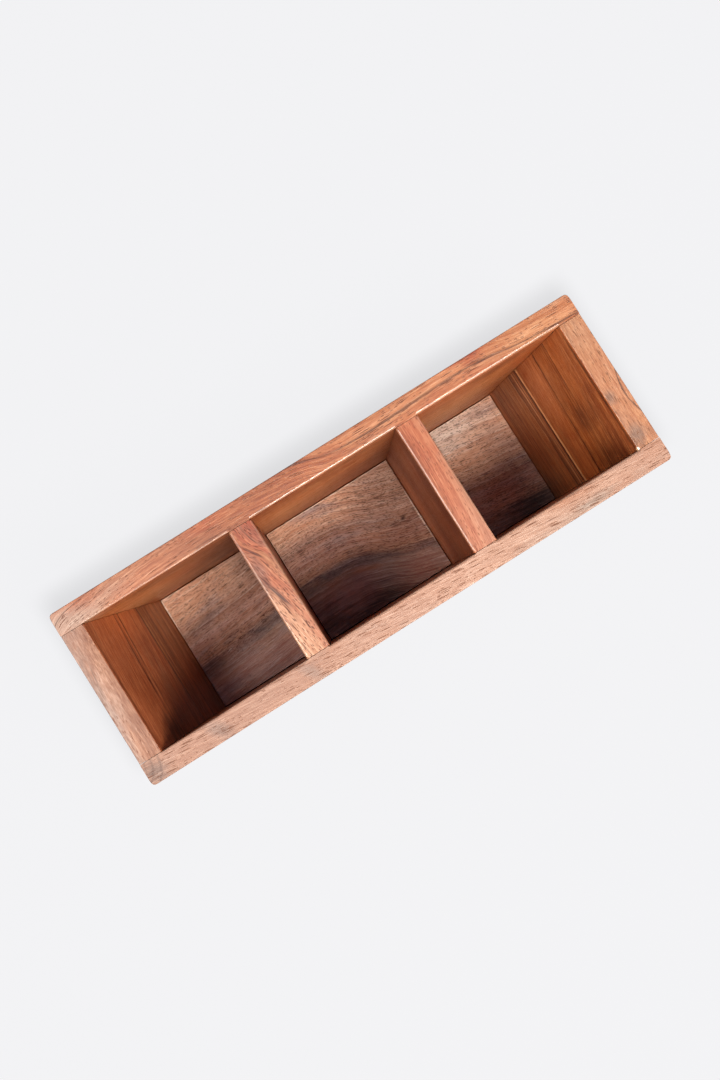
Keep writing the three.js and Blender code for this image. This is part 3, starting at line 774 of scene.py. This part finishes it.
# The dowels are bare turned beech, 6 mm thick, sealed inside the joints. Their CAD shape is already the real
# one, so they keep it and only get the wood: pale and matt, with darker flecks 2.5 mm by 0.5 mm along them.
FLECK = (0.5 * MM, 2.5 * MM, 0.5 * MM)

beech = new_material("bare_turned_beech")
tree = beech.node_tree
place = add(tree, "TexCoord", {}).outputs["Object"]
fleck = add(tree, "Mapping", {"Vector": place, "Scale": [1 / size for size in FLECK]}).outputs[0]
fleck = add(tree, "TexVoronoi", {"Vector": fleck, "Scale": 1.0}).outputs["Distance"]
fleck = add(tree, "MapRange", {0: fleck, 1: 0.1, 2: 0.4}).outputs[0]
pale = add(tree, "Mix", {0: fleck, 6: linear("#b48a5e"), 7: linear("#d8b98c")}, data_type="RGBA").outputs[2]
bump = add(tree, "Bump", {"Height": fleck, "Strength": 0.3, "Distance": 0.1 * MM}).outputs[0]
skin = add(tree, "BsdfPrincipled", {
    "Base Color": pale, "Roughness": 0.7, "Normal": bump, "IOR": 1.5,
}).outputs[0]
add(tree, "OutputMaterial", {"Surface": skin})
for name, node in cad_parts.items():
    if "_dowel_" in name:
        node.data.materials.clear()
        node.data.materials.append(beech)

# The table is a sheet of matt acrylic lit from below, which gives the eye an even white ground. The caddy's
# soft shadow on it is painted: the glow is a sixth less in a soft patch round the caddy, reaching furthest
# behind it, and there is no glow at all under the caddy.
TABLE_HALF = 4.0
GLOW = 0.878
SHADOW = 0.17
SHADOW_MIDDLE = 7 * MM

table_mesh = bpy.data.meshes.new("table")
bm = bmesh.new()
bmesh.ops.create_grid(bm, x_segments=1, y_segments=1, size=TABLE_HALF)
slice_up(bm, 0, [-BASE_HALF_LENGTH + CORNER_RADIUS, BASE_HALF_LENGTH - CORNER_RADIUS])
slice_up(bm, 1, [-back_high.y + CORNER_RADIUS, back_high.y - CORNER_RADIUS])
for face in bm.faces:
    face.material_index = int(face.calc_center_median().length < MM)
bm.to_mesh(table_mesh)
bm.free()
table = bpy.data.objects.new("table", table_mesh)
scene.collection.objects.link(table)
for name in ("light_table", "light_table_under_the_caddy"):
    acrylic = new_material(name)
    tree = acrylic.node_tree
    skin = add(tree, "BsdfPrincipled", {
        "Base Color": linear("#202021"), "Roughness": 0.9, "Specular IOR Level": 0.0,
        "Emission Color": linear("#fdfdff"), "Emission Strength": 0.0,
    })
    add(tree, "OutputMaterial", {"Surface": skin.outputs[0]})
    table_mesh.materials.append(acrylic)
    if name == "light_table":
        place = add(tree, "TexCoord", {}).outputs["Object"]
        along, across = add(tree, "SeparateXYZ", {0: place}).outputs[:2]
        along = add(tree, "Math", {0: along, 1: SHADOW_MIDDLE}, operation="SUBTRACT").outputs[0]
        along = add(tree, "Math", {0: along}, operation="ABSOLUTE").outputs[0]
        # The painted shadow: a sixth of the glow, in a rectangle with soft edges.
        shade = SHADOW
        for spot, start, end, first, last in (
            (along, 172 * MM, 192 * MM, 1.0, 0.0),
            (across, 65 * MM, 84 * MM, 1.0, 0.0),
            (across, -50 * MM, -31 * MM, 0.0, 1.0),
        ):
            brink = add(tree, "MapRange", {
                0: spot, 1: start, 2: end, 3: first, 4: last,
            }, interpolation_type="SMOOTHSTEP").outputs[0]
            shade = add(tree, "Math", {0: shade, 1: brink}, operation="MULTIPLY").outputs[0]
        glow = add(tree, "Math", {0: shade, 1: -GLOW, 2: GLOW}, operation="MULTIPLY_ADD").outputs[0]
        tree.links.new(glow, skin.inputs["Emission Strength"])

# The studio is white at the horizon and cool overhead. Two softboxes and a long panel stand in front of the
# caddy, and a softbox and a panel on its left, all turned to the rim.
LAMP_WHITE = "#fcf7ec"

world = bpy.data.worlds.new("white_studio")
world.use_nodes = True
tree = world.node_tree
tree.nodes.clear()
upward = add(tree, "TexCoord", {}).outputs["Generated"]
upward = add(tree, "SeparateXYZ", {0: upward}).outputs["Z"]
upward = add(tree, "MapRange", {0: upward, 1: 0.1, 2: 0.5}).outputs[0]
sky = add(tree, "Mix", {0: upward, 6: linear("#f1f1f3"), 7: linear("#6f86a6")}, data_type="RGBA").outputs[2]
sky = add(tree, "Background", {"Color": sky}).outputs[0]
add(tree, "OutputWorld", {"Surface": sky})
scene.world = world

for name, place, wide, tall, watts in (
    ("front_softbox", (0.12, -0.46, 1.13), 0.5, 0.36, 16.8),
    ("front_panel", (0.05, -0.8, 0.75), 1.0, 0.3, 4.2),
    ("front_right_softbox", (0.62, -0.48, 0.90), 0.5, 0.4, 4),
    ("left_softbox", (-0.97, 0.08, 2.0), 0.7, 0.7, 23),
    ("left_panel", (-0.75, -0.05, 0.88), 0.5, 0.25, 3.9),
):
    softbox = bpy.data.lights.new(name, "AREA")
    softbox.shape = "RECTANGLE"
    softbox.size = wide
    softbox.size_y = tall
    softbox.energy = watts
    softbox.color = linear(LAMP_WHITE)[:3]
    lamp = bpy.data.objects.new(name, softbox)
    lamp.location = place
    lamp.rotation_euler = (Vector((0, 0, height)) - lamp.location).to_track_quat("-Z", "Y").to_euler()
    lamp.visible_camera = False
    scene.collection.objects.link(lamp)

# The camera looks almost straight down, a little from the front left, and is turned so that the caddy lies
# aslant in the picture.
camera_data = bpy.data.cameras.new("camera")
camera_data.sensor_width = 36
camera_data.lens = 42.239
camera_data.clip_start = 0.01
camera = bpy.data.objects.new("camera", camera_data)
camera.location = (-0.030984, -0.027107, 0.750084)
camera.rotation_euler = (math.radians(3.4782), math.radians(-0.9665), math.radians(-32.2142))
scene.collection.objects.link(camera)
scene.camera = camera
scene.view_settings.view_transform = "Standard"

bpy.context.view_layer.update()
